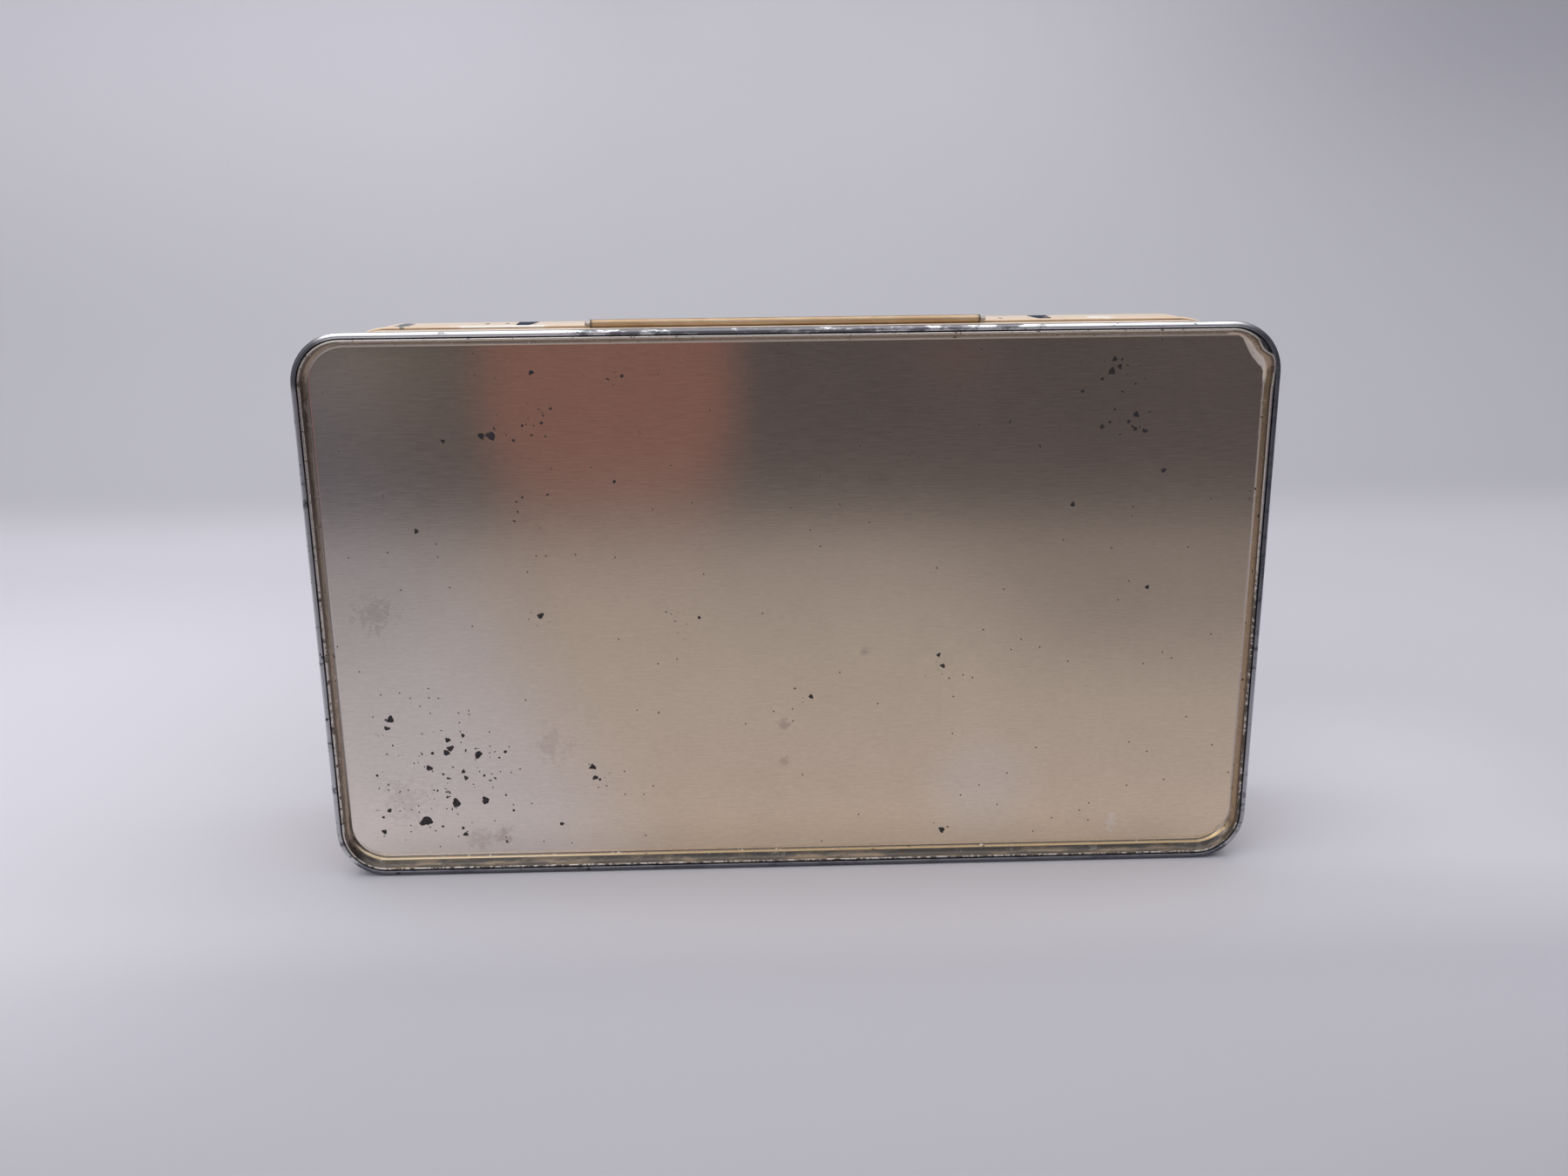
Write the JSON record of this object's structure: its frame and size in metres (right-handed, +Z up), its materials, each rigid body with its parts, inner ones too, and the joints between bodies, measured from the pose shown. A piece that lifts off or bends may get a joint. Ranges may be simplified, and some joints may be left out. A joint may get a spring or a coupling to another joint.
{
  "type": "sweet tin",
  "caption": "Shut rectangular hinged sweet tin of worn tinplate, standing on its long front side with its sunk gold-lacquered base forward.",
  "frame": {"origin": "on the ground under the middle of the tin: middle of its width, halfway from the base seam to the lid", "axes": "+Z up through the hinge side, -Y straight out of the base plate, +X along the long side"},
  "size_m": [0.203, 0.044, 0.12],
  "materials": {
    "painted_wall": "cream paint on tinplate, bare and worn at the folded seam",
    "lacquered_plate": "satin gold lacquer on rolled tinplate, with rust specks and one dented corner",
    "painted_lid": "cream paint on tinplate with a thin dark border line",
    "hinge_strip": "tan lacquer",
    "hinge_wire": "darkened steel wire"
  },
  "bodies": {
    "root": {"tin_body": "painted_wall", "base_plate": "lacquered_plate", "lid": "painted_lid", "hinge_knuckle": "hinge_strip", "hinge_wire": "hinge_wire"}
  },
  "joints": []
}
